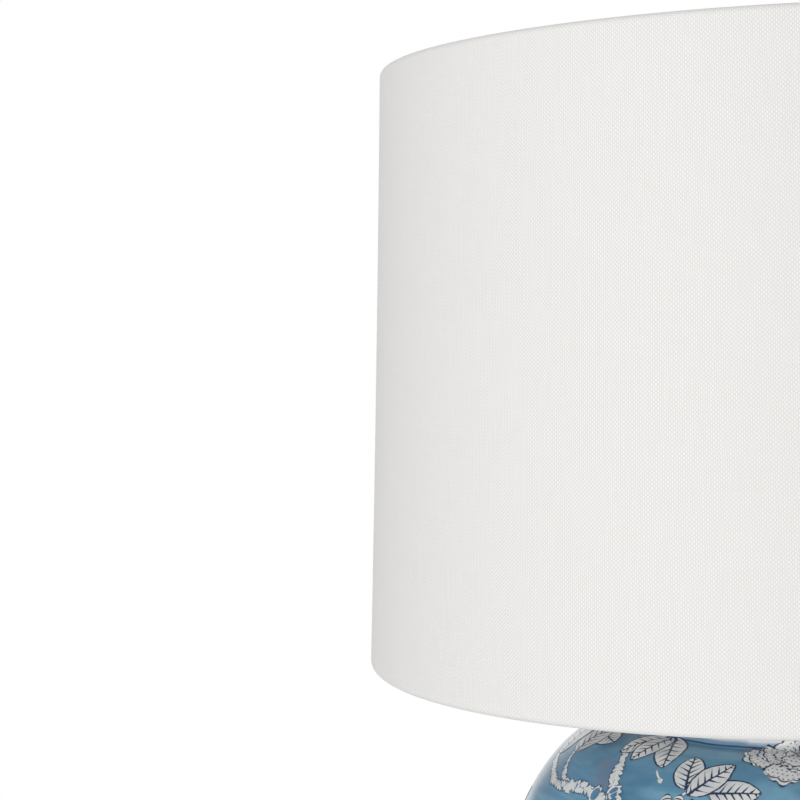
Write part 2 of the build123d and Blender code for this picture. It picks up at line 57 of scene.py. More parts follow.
# shade
SHADE_LOW, SHADE_HIGH, _ = reach("shade_cover")
SHADE_BOTTOM_R = 203.2
SHADE_TOP_R = 190.5
LINEN_T = 1.0
RING_LOW, RING_HIGH, _ = reach("shade_top_ring")
RING_Z = (RING_LOW + RING_HIGH) / 2
FOLD_R = SHADE_HIGH - RING_Z        # outside of the fold round each ring
TURN_IN = 8.0
TURN_IN_LEAN = math.radians(14)
SHADE_WAIST = 0.4       # how far the linen draws in halfway between its rings
ARM_ANGLES = (90, 210, 330)         # degrees: where the spider's arms pass through the turned-in linen
ARM_NOTCH_R = 2.2
LAP_AT = 90                         # degrees: the cover's overlap
LAP_W = 12.0
LAP_T = 0.6
LAP_SUNK = 0.3          # how far its underside lies inside the cover
LAP_COLUMNS = 8
THREAD_ACROSS = 0.90    # weave pitch along the rings
THREAD_UP = 0.84        # weave pitch up the shade
LINEN_SIDES = 288
WALL_ROWS = 24
FOLD_ROWS = 14

# jar
PAD_T = reach("felt_pad")[1]
FOOT_R = 90.0
FOOT_STEP = 1.5
FOOT_EDGE = Vector((0.5, 0.6))
FOOT_H = 16.0
FOOT_W = 9.0
RECESS_H = 18.0
FLOOR_T = 8.0
FLOOR_HOLE_R = 7.0
BELLY_R = 146.0
BELLY_H = 233.5
BELLY_PULL = 118.0
FOOT_PULL = Vector((24.0, 62.0))
SHOULDER_H = 104.5
NECK_R = 80.0
JAR_WALL = 6.0
NECK_FILLET = 2.5
RIM_FILLET = 1.5
QUARTER = 0.5523        # handle share that bends a cubic like a quarter ellipse
JAR_SIDES = 256
SIDE_ROWS = 90          # in each of its two curves, outside
INSIDE_ROWS = 16
RIM_Z = reach("jar")[1]
ROOT = Vector((NECK_R, PAD_T + BELLY_H + SHOULDER_H))
BELLY = Vector((BELLY_R, PAD_T + BELLY_H))
FOOT_TOP = Vector((FOOT_R + FOOT_STEP, PAD_T + FOOT_H))

# camera: fitted to the photograph's shade edges, for an image of 800 by 800 pixels
IMAGE_PX = 800
FOCAL_PX = 2070.8
CAMERA_AHEAD = 992.4    # in front of the lamp's axis
CAMERA_ABOVE = 167.15   # above the shade's lower edge
CAMERA_YAW = 10.785     # degrees, aimed to the left of the lamp
CAMERA_PITCH = -2.453
CAMERA_ROLL = 1.725
SENSOR_MM = 36.0

# studio: metres and watts
LIGHT_AIM = (0.0, 0.0, 0.42)
LIGHTS = (("key", (-0.85, -2.6, 0.55), (1.6, 1.1), 30.5), ("back", (0.9, 2.6, 0.9), (1.6, 1.8), 14.0))
WORLD_LEVEL = 0.585     # what lights the lamp, where white is 1
SIDE_LEVEL = 0.32       # what it mirrors of the studio's sides
FLOOR_R = 6.0


# ---- Node trees ----
def placed(name, data):
    """A new object in the scene."""
    made = bpy.data.objects.new(name, data)
    bpy.context.scene.collection.objects.link(made)
    return made


class Field:
    """A number in a node tree, which ordinary arithmetic adds nodes to."""

    def __init__(self, nodes, socket):
        self.nodes, self.socket = nodes, socket

    def __add__(self, other):
        return self.nodes.math("ADD", self, other)

    def __sub__(self, other):
        return self.nodes.math("SUBTRACT", self, other)

    def __rsub__(self, other):
        return self.nodes.math("SUBTRACT", other, self)

    def __mul__(self, other):
        return self.nodes.math("MULTIPLY", self, other)

    def __truediv__(self, other):
        return self.nodes.math("DIVIDE", self, other)

    def __pow__(self, other):
        return self.nodes.math("POWER", self, other)

    def __abs__(self):
        return self.nodes.math("ABSOLUTE", self)

    __radd__, __rmul__ = __add__, __mul__


class Nodes:
    """Adds nodes to a tree."""

    def __init__(self, tree):
        self.tree = tree

    def add(self, kind, **settings):
        node = self.tree.nodes.new(kind)
        for setting, value in settings.items():
            setattr(node, setting, value)
        return node

    def put(self, socket, value):
        """Links a field or another node's socket, or sets a constant."""
        if isinstance(value, Field):
            value = value.socket
        if isinstance(value, bpy.types.NodeSocket):
            self.tree.links.new(value, socket)
        else:
            socket.default_value = value

    def node(self, kind, inputs, **settings):
        """Adds a node, puts its inputs by name and gives its first output."""
        node = self.add(kind, **settings)
        for name, value in inputs.items():
            self.put(node.inputs[name], value)
        return node.outputs[0]

    def fill(self, kind, *values, **settings):
        """Adds a node, puts its inputs in order and gives its first output."""
        node = self.add(kind, **settings)
        for socket, value in zip(node.inputs, values):
            self.put(socket, value)
        return node.outputs[0]

    def math(self, operation, *values):
        return Field(self, self.fill("ShaderNodeMath", *values, operation=operation))

    def far(self, x, y):
        """The length of a flat vector."""
        return self.math("SQRT", x * x + y * y)

    def sine(self, value):
        return self.math("SINE", value)

    def cosine(self, value):
        return self.math("COSINE", value)

    def least(self, first, second):
        return self.math("MINIMUM", first, second)

    def most(self, first, second):
        return self.math("MAXIMUM", first, second)

    def ramp(self, value, low, high, to_low=0.0, to_high=1.0):
        """A smooth rise from to_low to to_high as value goes from low to high."""
        given = (value, low, high, to_low, to_high)
        return Field(self, self.fill("ShaderNodeMapRange", *given, interpolation_type="SMOOTHSTEP"))

    def join(self, x, y, z=0.0):
        return self.fill("ShaderNodeCombineXYZ", x, y, z)

    def split(self, vector):
        node = self.add("ShaderNodeSeparateXYZ")
        self.put(node.inputs[0], vector)
        return [Field(self, socket) for socket in node.outputs]

    def noise(self, vector, scale=1.0, detail=2.0, roughness=0.5, distortion=0.0):
        inputs = {"Vector": vector, "Scale": scale, "Detail": detail, "Roughness": roughness,
                  "Distortion": distortion}
        return Field(self, self.node("ShaderNodeTexNoise", inputs))


class Finish(Nodes):
    """A material's nodes."""

    def __init__(self, name):
        self.material = bpy.data.materials.new(name)
        self.material.use_nodes = True
        super().__init__(self.material.node_tree)
        self.surface = self.tree.nodes["Principled BSDF"]

    def done(self, **sockets):
        """Sets the shader's own sockets, named with _ for a space, and gives the material."""
        for name, value in sockets.items():
            if isinstance(value, tuple):
                value = (*value, 1.0)
            self.put(self.surface.inputs[name.replace("_", " ")], value)
        return self.material

    def mix(self, factor, first, second):
        node = self.add("ShaderNodeMix", data_type="RGBA")
        for index, value in ((0, factor), (6, first), (7, second)):
            if isinstance(value, tuple):
                value = (*value, 1.0)
            self.put(node.inputs[index], value)
        return node.outputs[2]

    def place(self, x=1.0, y=1.0, z=1.0):
        """Object coordinates, stretched along each axis."""
        node = self.add("ShaderNodeMapping")
        self.put(node.inputs["Vector"], self.add("ShaderNodeTexCoord").outputs["Object"])
        node.inputs["Scale"].default_value = (x, y, z)
        return node.outputs[0]

    def uv(self, name):
        """A UV map's two coordinates, in millimetres."""
        return self.split(self.add("ShaderNodeUVMap", uv_map=name).outputs[0])[:2]

    def given(self, name):
        return Field(self, self.add("ShaderNodeAttribute", attribute_name=name).outputs["Fac"])

    def cloud(self, scale, *rest):
        """Noise over Object coordinates."""
        return self.noise(self.place(), scale, *rest)

    def bump(self, height, distance, strength=1.0):
        inputs = {"Height": height, "Distance": distance * MM, "Strength": strength}
        return self.node("ShaderNodeBump", inputs)


class Growth(Nodes):
    """A geometry tree with named inputs, and the mesh that it makes from a starting mesh."""

    KINDS = {float: "NodeSocketFloat", int: "NodeSocketInt", bpy.types.Object: "NodeSocketObject",
             bpy.types.Material: "NodeSocketMaterial"}

    def __init__(self, name, **values):
        super().__init__(bpy.data.node_groups.new(name, "GeometryNodeTree"))
        self.values = values
        sides = self.tree.interface
        sides.new_socket("Geometry", in_out="OUTPUT", socket_type="NodeSocketGeometry")
        sides.new_socket("Geometry", in_out="INPUT", socket_type="NodeSocketGeometry")
        for label, value in values.items():
            sides.new_socket(label, in_out="INPUT", socket_type=self.KINDS[type(value)])
        self.begin = self.add("NodeGroupInput")

    def input(self, label):
        return Field(self, self.begin.outputs[label])

    def given(self, name):
        return Field(self, self.node("GeometryNodeInputNamedAttribute", {"Name": name}, data_type="FLOAT"))

    def store(self, geometry, name, value):
        return self.node("GeometryNodeStoreNamedAttribute",
                         {"Geometry": geometry, "Name": name, "Value": value}, data_type="FLOAT")

    def position(self):
        return self.split(self.add("GeometryNodeInputPosition").outputs[0])

    def grow(self, name, seed_mesh, geometry):
        """Ends the tree, runs it on the seed mesh and gives the finished object."""
        end = self.add("NodeGroupOutput")
        real = self.node("GeometryNodeRealizeInstances", {"Geometry": geometry})
        smooth = self.node("GeometryNodeSetShadeSmooth", {"Geometry": real})
        self.put(end.inputs[0], self.node("GeometryNodeSetMaterial",
                                          {"Geometry": smooth, "Material": self.input("Finish")}))
        host = placed(name + "_seed", seed_mesh)
        modifier = host.modifiers.new(name, "NODES")
        modifier.node_group = self.tree
        for item in self.tree.interface.items_tree:
            if item.name in self.values:
                modifier[item.identifier] = self.values[item.name]
        graph = bpy.context.evaluated_depsgraph_get()
        mesh = bpy.data.meshes.new_from_object(host.evaluated_get(graph), depsgraph=graph)
        bpy.data.objects.remove(host)
        return placed(name, mesh)


# ---- Finishes ----
def linen_finish():
    """Plain weave: two sets of threads, each over and under, with slubs, and painted shade in the small gaps.
    """
    f = Finish("off_white_linen")
    across, up = f.uv("cloth")
    drift = (f.noise(f.join(across, up), 0.012, 3.0) - 0.5) * 1.5
    sag = (f.noise(f.join(across, up, 50.0), 0.012, 3.0) - 0.5) * 1.5
    warp = f.sine((across + drift) * (math.pi / THREAD_ACROSS))
    weft = f.sine((up + sag) * (math.pi / THREAD_UP))
    over = warp * weft
    warp_high = abs(warp) * (over * 0.5 + 0.5)
    weft_high = abs(weft) * (0.5 - over * 0.5)
    height = f.most(warp_high, weft_high)
    warp_slub = f.noise(f.join(across * 1.1, up * 0.05))
    weft_slub = f.noise(f.join(across * 0.05, up * 1.1, 7.0))
    is_warp = f.ramp(warp_high - weft_high, -0.1, 0.1)
    slub = f.mix(is_warp, weft_slub, warp_slub)
    crown = f.mix(is_warp, (0.765, 0.757, 0.742), (0.885, 0.876, 0.860))
    thread = f.mix(f.ramp(slub, 0.3, 0.72, 0.16, 0.0), crown, (0.66, 0.652, 0.638))
    # painted shade: darker where the threads dip, down between them
    colour = f.mix(f.ramp(height, 0.05, 0.5), (0.685, 0.678, 0.665), thread)
    return f.done(Base_Color=colour, Roughness=0.86, Specular_IOR_Level=0.3, Sheen_Weight=0.1,
                  Sheen_Roughness=0.5, Normal=f.bump(height, 0.10, 0.38))


def styrene_finish():
    f = Finish("white_styrene")
    mottle = f.cloud(140.0, 3.0)
    return f.done(Base_Color=f.mix(mottle, (0.82, 0.81, 0.79), (0.87, 0.865, 0.85)),
                  Roughness=f.ramp(mottle, 0.3, 0.7, 0.42, 0.55),
                  Normal=f.bump(f.cloud(900.0), 0.02, 0.5))


def metal_finish(name, light, deep, rough, grain=70.0, lines=0.0):
    """Metal with a faint tarnish and, where lines is over 0, turning lines round the axis."""
    f = Finish(name)
    tarnish = f.cloud(grain, 4.0, 0.6)
    speck = f.cloud(grain * 14, 2.0)
    x, y, z = f.split(f.place())
    out = f.far(x, y)
    turning = f.join(out * 2400.0, x * 20.0, z * 2400.0)
    relief = f.noise(turning) if lines else f.cloud(900.0, 3.0)
    colour = f.mix(f.ramp(tarnish, 0.35, 0.80, 0.0, 0.45), light, deep)
    return f.done(Base_Color=f.mix(f.ramp(speck, 0.62, 0.80, 0.0, 0.3), colour, deep), Metallic=1.0,
                  Roughness=f.ramp(tarnish, 0.3, 0.8, rough * 0.9, rough * 1.2),
                  Normal=f.bump(relief, lines or 0.008, 0.5))


def frosted_finish(neck_low, neck_high):
    """Soft white glass: the coating inside thins out down the neck, and the outside keeps a shine."""
    f = Finish("soft_white_glass")
    height = f.split(f.place())[2] / MM
    cloud = f.cloud(60.0, 3.0)
    coated = f.ramp(height, neck_low, neck_high)
    white = f.mix(cloud, (0.90, 0.895, 0.87), (0.94, 0.935, 0.915))
    return f.done(Base_Color=f.mix(coated, (0.70, 0.71, 0.70), white), Transmission_Weight=0.15, IOR=1.5,
                  Roughness=f.ramp(cloud, 0.3, 0.7, 0.16, 0.24),
                  Normal=f.bump(f.cloud(35.0), 0.15, 0.4))


def threaded(name, light, deep, rough, pitch):
    """Metal with a rolled thread's crests and roots, the roots painted darker as shade."""
    f = Finish(name)
    x, y, z = f.split(f.place())
    turn = f.math("ARCTAN2", y, x) / (2 * math.pi)
    wave = f.sine((z / (pitch * MM) - turn) * (2 * math.pi))
    grime = f.cloud(160.0, 4.0, 0.6)
    # painted shade: darker down in the thread's roots, its edge moved by the grime noise
    colour = f.mix(f.ramp(wave + grime - 0.5, -0.9, 0.1), deep, light)
    return f.done(Base_Color=colour, Metallic=1.0, Roughness=f.ramp(grime, 0.3, 0.8, rough, rough * 1.5),
                  Normal=f.bump(wave, 0.18, 0.8))


def moulded_finish(name, light, dark, rough, grain=800.0, depth=0.02):
    """Moulded or painted stock: a faint mottle over a fine grain."""
    f = Finish(name)
    fine = f.cloud(grain, 3.0)
    return f.done(Base_Color=f.mix(f.cloud(45.0, 3.0), dark, light),
                  Roughness=f.ramp(fine, 0.3, 0.7, rough, rough * 1.25), Normal=f.bump(fine, depth, 0.6))


BRASS, BRASS_DEEP = (0.76, 0.56, 0.27), (0.55, 0.37, 0.15)
ZINC, ZINC_DEEP = (0.64, 0.65, 0.66), (0.42, 0.43, 0.45)


def felt_finish():
    f = Finish("green_wool_felt")
    fibre = f.cloud(1400.0, 4.0, 0.7, 1.5)
    return f.done(Base_Color=f.mix(fibre, (0.012, 0.035, 0.02), (0.035, 0.075, 0.045)), Roughness=0.95,
                  Sheen_Weight=0.4, Specular_IOR_Level=0.2, Normal=f.bump(fibre, 0.2, 0.8))


# ---- Glaze and its painting ----
GROUND_LIGHT = (0.198, 0.405, 0.555)
GROUND_MID = (0.116, 0.286, 0.444)
GROUND_DEEP = (0.044, 0.156, 0.282)
GROUND_DUSK = (0.185, 0.245, 0.345)
INK = (0.030, 0.052, 0.110)
SLIP = (0.80, 0.81, 0.81)
SLIP_SHADE = (0.60, 0.635, 0.67)
NECK_GLAZE = (0.66, 0.665, 0.675)
NECK_WASH = (0.20, 0.32, 0.47)
GLAZE_ROUGH = 0.11
FOOT_LINES = ((9.0, 1.1), (3.0, 0.6))   # heights and half widths
GLAZE_END = -13.0       # up the side, where the bare clay of the foot starts
DOT_ROWS, DOT_PITCH = 2.3, 2.1
TICK_PITCH = 2.8        # hatching along a branch
TICK_REACH = 1.7        # how far in from its edge the ground shows
INK_LINE = 0.80         # outline of a leaf or a petal
LIP_W = 2.5             # a large petal's turned lip, left without dots


def glazed(f, colour, rough=GLAZE_ROUGH):
    """Clear glaze over the colour, lying a little unevenly so that reflections waver."""
    wave = f.cloud(24.0, 2.0, 0.4)
    return f.done(Base_Color=colour, Roughness=rough, IOR=1.42, Specular_IOR_Level=0.42,
                  Normal=f.bump(wave, 0.9, 0.5))


def painted_ground(f):
    """Blue washed on with a broad brush: level strokes that overlap, and dusky patches."""
    strokes = f.noise(f.place(7.0, 7.0, 75.0), 1.0, 4.0, 0.62, 0.4)
    patches = f.noise(f.place(15.0, 15.0, 34.0), 1.0, 3.0, 0.55)
    dusk = f.noise(f.place(21.0, 21.0, 52.0), 1.3)
    speck = f.cloud(240.0, 3.0, 0.6)
    colour = f.mix(f.ramp(strokes, 0.40, 0.60), GROUND_MID, GROUND_LIGHT)
    colour = f.mix(f.ramp(patches, 0.50, 0.66, 0.0, 0.9), colour, GROUND_DEEP)
    colour = f.mix(f.ramp(dusk, 0.52, 0.66, 0.0, 0.75), colour, GROUND_DUSK)
    return f.mix(f.ramp(speck, 0.35, 0.65, 0.0, 0.18), colour, GROUND_MID)


def slip(f):
    """White slip, laid on by brush and a little bluer where it is thin."""
    thin = f.cloud(130.0, 4.0, 0.6)
    return f.mix(f.ramp(thin, 0.40, 0.75), SLIP, SLIP_SHADE)


def glaze_finish(length):
    """The jar's glaze: blue ground between an ink line at the neck and lines above the foot."""
    f = Finish("blue_painted_glaze")
    height = f.uv("jar")[1] + (f.cloud(60.0, 3.0) - 0.5) * 1.6
    colour = f.mix(f.ramp(height, length - 0.5, length + 0.5), painted_ground(f), NECK_WASH)
    colour = f.mix(f.ramp(height, length + 1.2, length + 2.6), colour, NECK_GLAZE)
    for line, half in ((length - 0.4, 0.42), *FOOT_LINES):
        colour = f.mix(f.ramp(abs(height - line), half * 0.6, half * 1.4, 0.85, 0.0), colour, INK)
    colour = f.mix(f.ramp(height, -0.6, 0.6), SLIP, colour)
    bare = f.ramp(height, GLAZE_END + 0.5, GLAZE_END - 0.5)
    clay = f.mix(f.cloud(500.0, 4.0), (0.52, 0.47, 0.40), (0.64, 0.59, 0.51))
    return glazed(f, f.mix(bare, colour, clay), bare * (0.7 - GLAZE_ROUGH) + GLAZE_ROUGH)


def art_terms(f):
    """What the painted pieces carry, in millimetres: along, out from the middle line, half width."""
    across, half = f.given("across"), f.given("half")
    return f.given("along"), across * half, abs(across), half


def hand(f, scale, amount):
    """A brush's unsteadiness, in millimetres."""
    return (f.cloud(scale, 3.0) - 0.5) * amount


def inked(f, ink, fill):
    """Ink where a distance in millimetres is under zero, over the fill."""
    return f.mix(f.ramp(ink, -0.16, 0.16), INK, fill)


def leaf_finish():
    """A white leaf with an ink outline, a midrib and herringbone veins that taper outwards."""
    f = Finish("painted_leaf")
    share, side, out, half = art_terms(f)
    length = f.given("length")
    large = f.ramp(length, 4.0, 9.0)
    rise = share * length
    pitch = length / 6.8
    edge = (1.0 - out) * half + hand(f, 500.0, 0.3) - large * INK_LINE
    rib = abs(side + hand(f, 260.0, 0.7)) - (0.72 - share * 0.45)
    order = (rise - out * half * 0.62) / pitch + f.ramp(side, -0.01, 0.01, 0.0, 0.4)
    vein = abs(f.math("FRACT", order) - 0.5) * pitch - (0.62 - out * 0.76) + hand(f, 500.0, 0.3)
    ink = f.least(edge, f.least(rib, vein) + (1.0 - large) * 5.0)
    return glazed(f, inked(f, ink, f.mix(f.ramp(share, 0.0, 0.5, 0.5, 0.0), slip(f), SLIP_SHADE)))


def petal_finish():
    """A white petal with an ink outline, rows of dots and short strokes at its root."""
    f = Finish("painted_petal")
    share, side, out, half = art_terms(f)
    length = f.given("length")
    rise = share * length
    edge = f.least((1.0 - out) * half, (1.0 - share) * length) + hand(f, 500.0, 0.3) - INK_LINE
    row = (length - rise - LIP_W) / DOT_ROWS
    line = f.math("FLOOR", row)
    column = side / DOT_PITCH + line * 0.5 + hand(f, 200.0, 0.25)
    dx = (f.math("FRACT", column) - 0.5) * DOT_PITCH
    dy = (row - line - 0.5) * DOT_ROWS
    few = f.ramp(line, 2.5, 4.5, 0.0, 0.5) + f.ramp(row, -0.1, 0.1, 1.0, 0.0)
    dot = f.far(dx, dy) - 0.34 + few + hand(f, 350.0, 0.3)
    stroke = abs(f.math("FRACT", side / 1.6) - 0.5) * 1.6 - (0.34 - share)
    lip = abs(length - rise - LIP_W + hand(f, 120.0, 2.4)) - 0.34 + f.ramp(length, 11.0, 12.0, 5.0, 0.0)
    ink = f.least(f.least(edge, lip), f.least(dot, stroke))
    return glazed(f, inked(f, ink, f.mix(f.ramp(share, 0.15, 0.6, 0.7, 0.0), slip(f), SLIP_SHADE)))


def branch_finish():
    """White bark with a ragged edge, where the ground shows between ticks of ink."""
    f = Finish("painted_branch")
    along, side, out, half = art_terms(f)
    thick = f.ramp(half, 0.8, 1.4)
    which = f.ramp(side, -0.1, 0.1) * 5.0
    ragged = f.noise(f.join(along * 0.34, which, f.given("angle")), 1.0, 3.0, 0.6)
    clear = f.ramp(along, 2.5, 7.0)     # a branch starts inside another, with no edge of its own
    deep = f.least(f.ramp(ragged, 0.40, 0.62, 0.62, 0.06), f.math("DIVIDE", TICK_REACH, half)) * clear
    slant = along / TICK_PITCH + out * 0.8 + f.noise(f.join(along * 0.25, which, 4.0)) * 1.4
    beside = abs(f.math("FRACT", slant) - 0.5) * 2.0
    bare = (out - 1.0 + deep * (1.0 - beside)) * half
    tick = beside * TICK_PITCH * 0.5 - (out - 0.85 + deep * 1.5) * 0.8
    grain = f.ramp(f.noise(f.join(along * 0.30, side * 1.1, 9.0), 1.0, 3.0, 0.6), 0.62, 0.67)
    ink = f.most(f.ramp(tick, 0.12, -0.12), grain * 0.8)
    ink = f.most(ink, f.ramp(abs(bare + 0.12), 0.20, 0.38, 1.0, 0.0)) * clear
    bark = f.mix(ink * thick, slip(f), INK)
    shadow = f.mix(0.5, painted_ground(f), GROUND_DEEP)
    return glazed(f, f.mix(f.ramp(bare, -0.05, 0.1) * thick, bark, shadow))


# ---- Turned pieces ----
def cubic(start, pull_start, pull_end, end, count):
    """Points along a cubic curve, its start included and its end left to the next stretch."""
    points = []
    for index in range(count):
        t = index / count
        s = 1 - t
        points.append(start * s**3 + pull_start * 3 * s * s * t + pull_end * 3 * s * t * t + end * t**3)
    return points


def arc(centre, radius, start, end, count):
    """Points round an arc, both ends included; angles in degrees from the outward direction."""
    angles = [math.radians(start + (end - start) * index / count) for index in range(count + 1)]
    return [centre + Vector((math.cos(angle), math.sin(angle))) * radius for angle in angles]


def lengths_along(points):
    """The length along a line of points, up to each of them."""
    lengths = [0.0]
    for before, after in zip(points, points[1:]):
        lengths.append(lengths[-1] + (after - before).length)
    return lengths


def turned(name, outline, sides, uv_name, start_length=0.0):
    """A shell turned about the lamp's axis from a closed outline, with a UV map in millimetres.

    The outline runs up the outside, so that its faces point out. The map's first coordinate is
    the way round at the outline's first radius, and its second the length along the outline.
    """
    verts = []
    for side in range(sides):
        angle = 2 * math.pi * side / sides
        verts += [(p.x * math.cos(angle) * MM, p.x * math.sin(angle) * MM, p.y * MM) for p in outline]
    count = len(outline)
    lengths = [start_length + length for length in lengths_along(outline + outline[:1])]
    round_step = 2 * math.pi * outline[0].x / sides
    faces, spots = [], []
    for side in range(sides):
        here, there = side * count, (side + 1) % sides * count
        left, right = side * round_step, (side + 1) * round_step
        for index in range(count):
            after = (index + 1) % count
            faces.append((here + index, there + index, there + after, here + after))
            low, high = lengths[index], lengths[index + 1]
            spots += [(left, low), (right, low), (right, high), (left, high)]
    mesh = bpy.data.meshes.new(name)
    mesh.from_pydata(verts, [], faces)
    layer = mesh.uv_layers.new(name=uv_name)
    for loop, spot in zip(layer.data, spots):
        loop.uv = spot
    mesh.shade_smooth()
    return placed(name, mesh)


def dress(piece, body, slot, material, *nodes):
    """Gives a finished piece its material and its body, and hides the CAD nodes it stands for; the slot is
    not used.
    """
    piece.data.materials.clear()
    piece.data.materials.append(material)
    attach(piece, body)
    if nodes:
        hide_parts(*nodes)
    return piece


# ---- Shade ----
LEAN = math.atan2(SHADE_BOTTOM_R - SHADE_TOP_R, SHADE_HIGH - SHADE_LOW)
OUT_WALL = Vector((math.cos(LEAN), math.sin(LEAN)))


def wall_point(height, depth=0.0):
    radius = SHADE_BOTTOM_R - (height - SHADE_LOW) * math.tan(LEAN) - depth / math.cos(LEAN)
    return Vector((radius, height))


def linen_face(depth):
    """One face of the linen: turned in at the lower ring, up the wall, and in over the upper."""
    low, high = wall_point(SHADE_LOW + FOLD_R, FOLD_R), wall_point(SHADE_HIGH - FOLD_R, FOLD_R)
    lean, turn = math.degrees(LEAN), math.degrees(TURN_IN_LEAN)
    under = arc(low, FOLD_R - depth, lean - 180 - turn, lean, FOLD_ROWS)
    over = arc(high, FOLD_R - depth, lean, lean + 180 + turn, FOLD_ROWS)
    shares = [row / WALL_ROWS for row in range(1, WALL_ROWS)]
    wall = [under[-1].lerp(over[0], t) - OUT_WALL * SHADE_WAIST * 4 * t * (1 - t) for t in shares]
    below = (under[0] - under[1]).normalized() * TURN_IN
    beyond = (over[-1] - over[-2]).normalized() * TURN_IN
    return [under[0] + below, *under, *wall, *over, over[-1] + beyond]


def cut_arm_notches(linen):
    """Cuts the turned-in edge away round each of the spider's arms."""
    reach_in = wall_point(RING_Z, FOLD_R).x * MM
    cutters = []
    for degrees in ARM_ANGLES:
        way = Matrix.Rotation(math.radians(degrees), 4, "Z")
        tilt = Matrix.Rotation(math.radians(90), 4, "Y")
        spot = Matrix.Translation((reach_in - 2 * FOLD_R * MM, 0, RING_Z * MM))
        bpy.ops.mesh.primitive_cylinder_add(vertices=24, radius=ARM_NOTCH_R * MM, depth=4 * FOLD_R * MM)
        cutter = bpy.context.object
        cutter.matrix_world = way @ spot @ tilt
        cutters.append(cutter)
        notch = linen.modifiers.new("notch", "BOOLEAN")
        notch.operation = "DIFFERENCE"
        notch.object = cutter
    graph = bpy.context.evaluated_depsgraph_get()
    mesh = bpy.data.meshes.new_from_object(linen.evaluated_get(graph), depsgraph=graph)
    linen.modifiers.clear()
    linen.data = mesh
    for cutter in cutters:
        bpy.data.objects.remove(cutter)


def make_lap(face):
    """The cover's overlap: a strip of the same linen from ring to ring, its free edge a step."""
    half = math.degrees(LAP_W / 2 / SHADE_BOTTOM_R)
    shown = [p for p in face if SHADE_LOW + FOLD_R * 0.5 < p.y < SHADE_HIGH - FOLD_R * 0.5]
    lengths = lengths_along(shown)
    verts, cloth, faces = [], [], []
    for share in (column / LAP_COLUMNS for column in range(LAP_COLUMNS + 1)):
        angle = math.radians(LAP_AT - half + 2 * half * share)
        for depth in (-LAP_SUNK, LAP_T * share):
            for p, length in zip(shown, lengths):
                r = (p.x + depth * OUT_WALL.x) * MM
                verts.append((r * math.cos(angle), r * math.sin(angle), p.y * MM))
                cloth.append((angle * SHADE_BOTTOM_R, length))
    rows = len(shown)
    last = LAP_COLUMNS * 2 * rows
    around = [*range(rows), *range(2 * rows - 1, rows - 1, -1)]     # up the underside, down the face
    for here in range(0, last, 2 * rows):
        there = here + 2 * rows
        faces += [(here + a, here + b, there + b, there + a) for a, b in zip(around, around[1:] + around[:1])]
    for row in range(rows - 1):
        faces.append((row, rows + row, rows + row + 1, row + 1))
        faces.append((last + row, last + row + 1, last + rows + row + 1, last + rows + row))
    mesh = bpy.data.meshes.new("linen_lap")
    mesh.from_pydata(verts, [], faces)
    layer = mesh.uv_layers.new(name="cloth")
    for loop in mesh.loops:
        layer.data[loop.index].uv = cloth[loop.vertex_index]
    return placed("linen_lap", mesh)


def make_linen():
    outside, inside = linen_face(0.0), linen_face(LINEN_T)
    linen = turned("linen_cover", outside + inside[::-1], LINEN_SIDES, "cloth")
    cut_arm_notches(linen)
    cloth = linen_finish()
    dress(linen, "shade", "linen", cloth, "shade_cover")
    lap = dress(make_lap(outside), "shade", "linen", cloth)
    middle = [(a + b) / 2 for a, b in zip(outside, inside)]
    area = sum((b - a).length * math.pi * (a.x + b.x) for a, b in zip(middle, middle[1:])) * MM * MM
    slant = lengths_along(middle)[-1]


# ---- Jar ----
def jar_side(inset, start, rows):
    """The jar's side from foot to neck, set in from the glaze."""
    belly = BELLY - Vector((inset, 0))
    root = ROOT - Vector((inset, inset))
    body = cubic(start, start + FOOT_PULL, belly - Vector((0, BELLY_PULL)), belly, rows)
    rise = Vector((0, QUARTER * (root.y - belly.y)))
    spread = Vector((QUARTER * (belly.x - root.x), 0))
    return body + cubic(belly, belly + rise, root + spread, root, rows) + [root]


SIDE = jar_side(0.0, FOOT_TOP, SIDE_ROWS)
SIDE_LENGTHS = lengths_along(SIDE)
NECK_LINE = SIDE_LENGTHS[-1]
CORNER = ROOT + Vector((NECK_FILLET, NECK_FILLET))
SHOWN_SIDE = [p for p in SIDE if p.x > CORNER.x] + arc(CORNER, NECK_FILLET, 270, 180, 6)


def make_jar():
    rim = arc(Vector((NECK_R - RIM_FILLET, RIM_Z - RIM_FILLET)), RIM_FILLET, 0, 90, 5)
    rim += arc(Vector((NECK_R - JAR_WALL + RIM_FILLET, RIM_Z - RIM_FILLET)), RIM_FILLET, 90, 180, 5)
    floor = PAD_T + RECESS_H + FLOOR_T
    inside = jar_side(JAR_WALL, Vector((FOOT_TOP.x - JAR_WALL, floor)), INSIDE_ROWS)[::-1]
    recess_r = FOOT_R - FOOT_W
    recess = PAD_T + RECESS_H
    under = [Vector(p) for p in ((FLOOR_HOLE_R, floor), (FLOOR_HOLE_R, recess), (recess_r, recess))]
    foot = arc(Vector((recess_r + RIM_FILLET, PAD_T + RIM_FILLET)), RIM_FILLET, 180, 270, 4)
    foot += arc(Vector((FOOT_R - RIM_FILLET, PAD_T + RIM_FILLET)), RIM_FILLET, 270, 360, 4)
    foot += [Vector((FOOT_R, FOOT_TOP.y - FOOT_EDGE.y)), Vector((FOOT_R + FOOT_EDGE.x, FOOT_TOP.y))]
    outline = foot + SHOWN_SIDE + rim + inside + under
    jar = turned("glazed_jar", outline, JAR_SIDES, "jar", -lengths_along(foot + SHOWN_SIDE[:1])[-1])
    dress(jar, "base", "glaze", glaze_finish(NECK_LINE), "jar")


